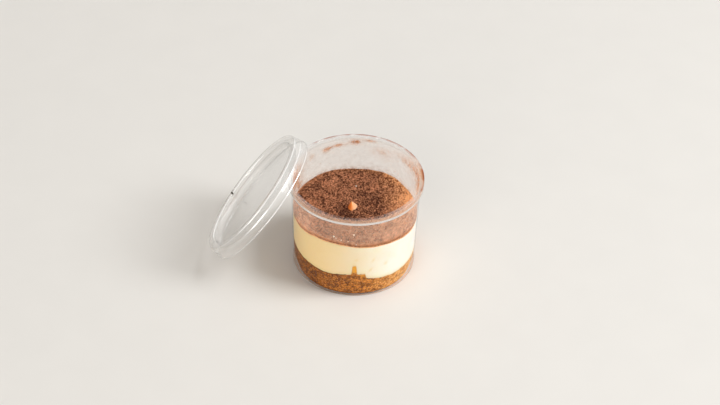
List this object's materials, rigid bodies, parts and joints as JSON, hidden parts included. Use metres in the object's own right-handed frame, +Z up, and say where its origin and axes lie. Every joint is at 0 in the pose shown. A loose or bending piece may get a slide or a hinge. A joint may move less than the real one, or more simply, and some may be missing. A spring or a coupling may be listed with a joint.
{
  "type": "tiramisu",
  "caption": "Layered tiramisu, soaked sponge, cream and cocoa, in a clear plastic round pot with its clear snap lid leaning on the rim.",
  "frame": {"origin": "on the surface that it stands on, under the middle of the bounding box of pot and leaning lid together", "axes": "+X from the leaning lid towards the pot, along the longest extent; +Y from the front of the pot to its back; +Z up"},
  "size_m": [0.1204, 0.086, 0.0689],
  "materials": {
    "clear_pot": "clear moulded plastic, glossy, with a film of cocoa dust inside near the rim",
    "clear_lid": "clear moulded plastic, glossy",
    "sponge": "coffee-soaked sponge, porous and moist",
    "cream": "smooth mascarpone cream, soft satin",
    "cocoa": "sifted cocoa powder, matt and granular"
  },
  "bodies": {
    "root": {"pot": "clear_pot", "lid": "clear_lid", "sponge_layer": "sponge", "cream_layer": "cream", "cocoa_layer": "cocoa"}
  },
  "joints": []
}
